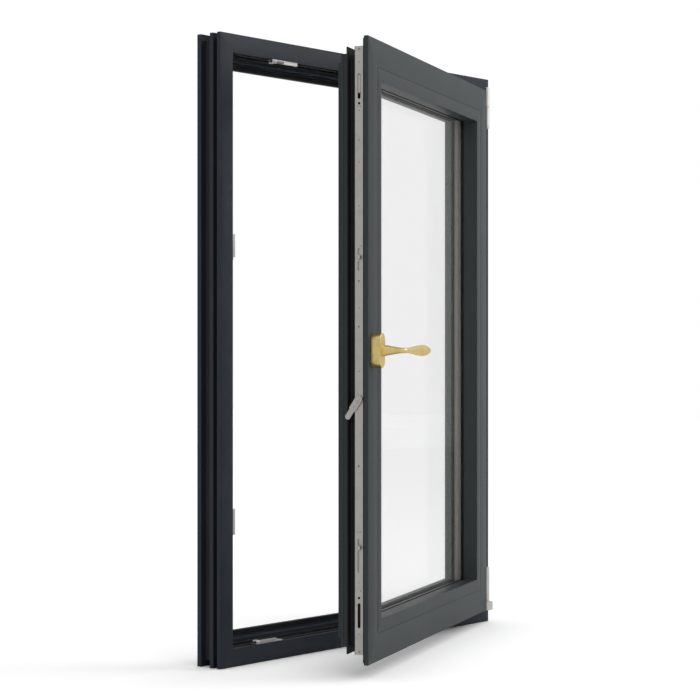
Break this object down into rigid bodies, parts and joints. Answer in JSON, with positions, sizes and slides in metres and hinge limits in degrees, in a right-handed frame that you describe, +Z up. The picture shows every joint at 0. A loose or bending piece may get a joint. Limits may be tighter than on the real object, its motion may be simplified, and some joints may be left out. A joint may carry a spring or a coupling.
{
  "type": "casement window",
  "caption": "Inward-opening thermally broken aluminium casement window with double glazing, lever handle, locking rods and side hinges.",
  "frame": {"origin": "middle of the frame's width, on the underside of the sill's room-side fin, 5 mm behind the frame's room-side face", "axes": "+X along the width towards the hinges, +Y from the room to the outdoors, +Z up"},
  "size_m": [1.07, 0.5065, 1.5],
  "materials": {
    "frame_coating": "fine matt anthracite powder coat",
    "sash_coating": "satin anthracite powder coat",
    "thermal_break": "glass-filled polyamide",
    "gasket_rubber": "matt black",
    "glass": "clear float glass",
    "spacer_bar": "satin grey",
    "glazing_packer": "moulded",
    "brass": "brushed gold",
    "hinge_steel": "satin silver",
    "lock_steel": "grey passivated",
    "zinc_hardware": "zinc die casting"
  },
  "bodies": {
    "frame": {"bottom_hinge_frame_leaf": "hinge_steel", "bottom_hinge_pin": "hinge_steel", "frame_centre_gasket": "gasket_rubber", "frame_inner_head": "frame_coating", "frame_inner_left": "frame_coating", "frame_inner_right": "frame_coating", "frame_inner_sill": "frame_coating", "frame_outer_head": "frame_coating", "frame_outer_left": "frame_coating", "frame_outer_right": "frame_coating", "frame_outer_sill": "frame_coating", "frame_stop_gasket": "gasket_rubber", "frame_thermal_break": "thermal_break", "keeper_head": "lock_steel", "keeper_jamb_lower": "lock_steel", "keeper_jamb_upper": "lock_steel", "keeper_sill": "lock_steel", "top_hinge_frame_leaf": "hinge_steel", "top_hinge_pin": "hinge_steel"},
    "sash": {"bottom_hinge_sash_leaf": "hinge_steel", "gearbox_case": "zinc_hardware", "glazing_bead_head": "sash_coating", "glazing_bead_left": "sash_coating", "glazing_bead_right": "sash_coating", "glazing_bead_sill": "sash_coating", "glazing_gasket_inner": "gasket_rubber", "glazing_gasket_outer": "gasket_rubber", "lock_faceplate": "lock_steel", "pane_inner": "glass", "pane_outer": "glass", "pane_spacer": "spacer_bar", "rosette_base": "zinc_hardware", "rosette_cover": "brass", "rosette_screw_lower": "zinc_hardware", "rosette_screw_upper": "zinc_hardware", "safety_lever_pin": "lock_steel", "sash_inner_head": "sash_coating", "sash_inner_left": "sash_coating", "sash_inner_right": "sash_coating", "sash_inner_sill": "sash_coating", "sash_outer_head": "sash_coating", "sash_outer_left": "sash_coating", "sash_outer_right": "sash_coating", "sash_outer_sill": "sash_coating", "sash_overlap_gasket": "gasket_rubber", "sash_thermal_break": "thermal_break", "setting_block_hinge": "glazing_packer", "setting_block_lock": "glazing_packer", "top_hinge_sash_leaf": "hinge_steel"},
    "handle": {"handle_lever": "brass", "handle_spindle": "zinc_hardware", "pinion": "zinc_hardware"},
    "drive_rod": {"drive_rod": "lock_steel", "cam_jamb_upper": "lock_steel", "cam_jamb_lower": "lock_steel"},
    "head_rod": {"head_rod": "lock_steel"},
    "sill_rod": {"sill_rod": "lock_steel"},
    "safety_lever": {"safety_lever": "lock_steel"}
  },
  "joints": [
    {"name": "sash_swing", "type": "hinge", "parent": "frame", "child": "sash", "pos_m": [0.51, -0.019, 0.75], "axis": [0, 0, 1], "range_deg": [-20.5, 69.5]},
    {"name": "handle_turn", "type": "hinge", "parent": "sash", "child": "handle", "pos_m": [-0.39521, -0.39054, 0.75], "axis": [0.3502, -0.9367, 0], "range_deg": [-90, 0]},
    {"name": "drive_rod_slide", "type": "slide", "parent": "sash", "child": "drive_rod", "axis": [0, 0, 1], "range_m": [-0.0001, 0.0161]},
    {"name": "head_rod_slide", "type": "slide", "parent": "sash", "child": "head_rod", "axis": [0.9367, 0.3502, 0], "range_m": [-0.0001, 0.0161]},
    {"name": "sill_rod_slide", "type": "slide", "parent": "sash", "child": "sill_rod", "axis": [0.9367, 0.3502, 0], "range_m": [-0.0161, 0.0001]},
    {"name": "safety_lever_pivot", "type": "hinge", "parent": "sash", "child": "safety_lever", "pos_m": [-0.43056, -0.33596, 0.632], "axis": [0.9367, 0.3502, 0], "range_deg": [-33, 0], "stiffness_Nm_per_rad": 0.02, "springref_deg": 34.38}
  ],
  "couplings": [
    {"joint": "drive_rod_slide", "follows": "handle_turn", "m_per_rad": -0.010186},
    {"joint": "head_rod_slide", "follows": "handle_turn", "m_per_rad": -0.010186},
    {"joint": "sill_rod_slide", "follows": "handle_turn", "m_per_rad": 0.010186}
  ]
}
